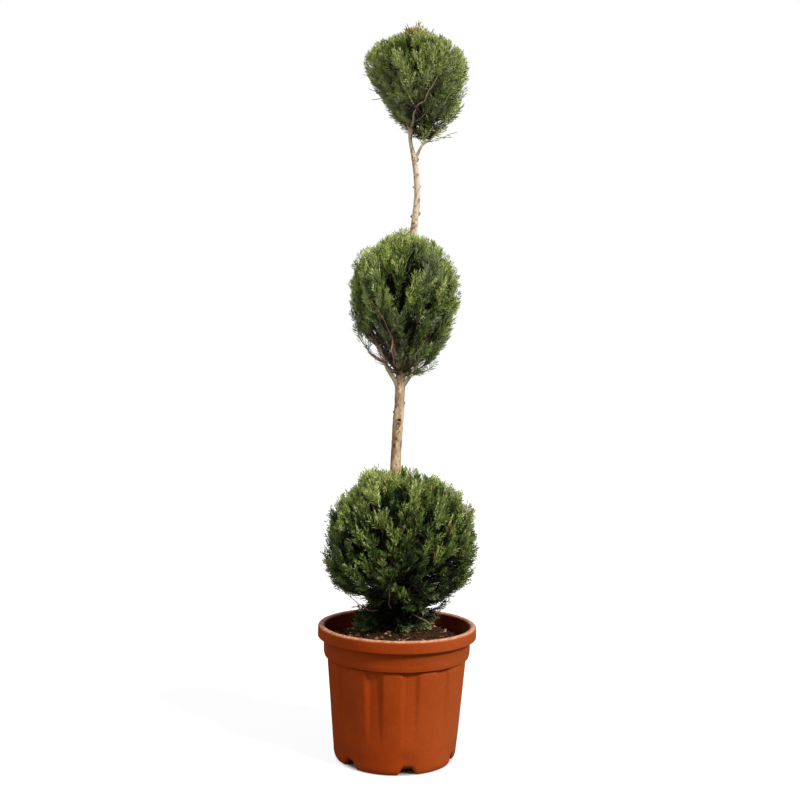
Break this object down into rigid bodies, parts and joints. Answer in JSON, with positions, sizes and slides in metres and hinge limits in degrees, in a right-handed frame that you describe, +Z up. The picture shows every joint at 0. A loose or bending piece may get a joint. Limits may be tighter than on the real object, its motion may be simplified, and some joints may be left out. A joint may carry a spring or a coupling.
{
  "type": "potted cypress ball topiary",
  "caption": "Clipped conifer topiary with foliage balls set one above another on a slim trunk, growing in a round fluted plastic pot.",
  "frame": {"origin": "on the ground under the middle of the pot", "axes": "+Z up along the trunk, -Y towards the pictured side, +X to that viewer's right"},
  "size_m": [0.3496, 0.3496, 1.613],
  "materials": {
    "pot_plastic": "satin terracotta-coloured plastic",
    "compost": "moist crumbly compost with bark chips",
    "bark": "smooth pale bark with scars",
    "foliage": "matt scale-leaved sprays"
  },
  "bodies": {
    "root": {"pot": "pot_plastic", "potting_soil": "compost", "trunk": "bark", "bough_bottom_front": "bark", "bough_bottom_right": "bark", "bough_bottom_back_right": "bark", "bough_bottom_back_left": "bark", "bough_bottom_left": "bark", "bough_mid_low_left": "bark", "bough_mid_left": "bark", "bough_mid_right": "bark", "bough_mid_upper_right": "bark", "bough_mid_back_left": "bark", "bough_mid_back_right": "bark", "bough_top_left": "bark", "bough_top_right": "bark", "bough_top_low_right": "bark", "bough_top_back_left": "bark", "bough_top_back_right": "bark", "foliage_bottom_front": "foliage", "foliage_bottom_right": "foliage", "foliage_bottom_back_right": "foliage", "foliage_bottom_back_left": "foliage", "foliage_bottom_left": "foliage", "foliage_mid_low_left": "foliage", "foliage_mid_left": "foliage", "foliage_mid_right": "foliage", "foliage_mid_upper_right": "foliage", "foliage_mid_back_left": "foliage", "foliage_mid_back_right": "foliage", "foliage_top_left": "foliage", "foliage_top_right": "foliage", "foliage_top_low_right": "foliage", "foliage_top_back_left": "foliage", "foliage_top_back_right": "foliage"}
  },
  "joints": []
}
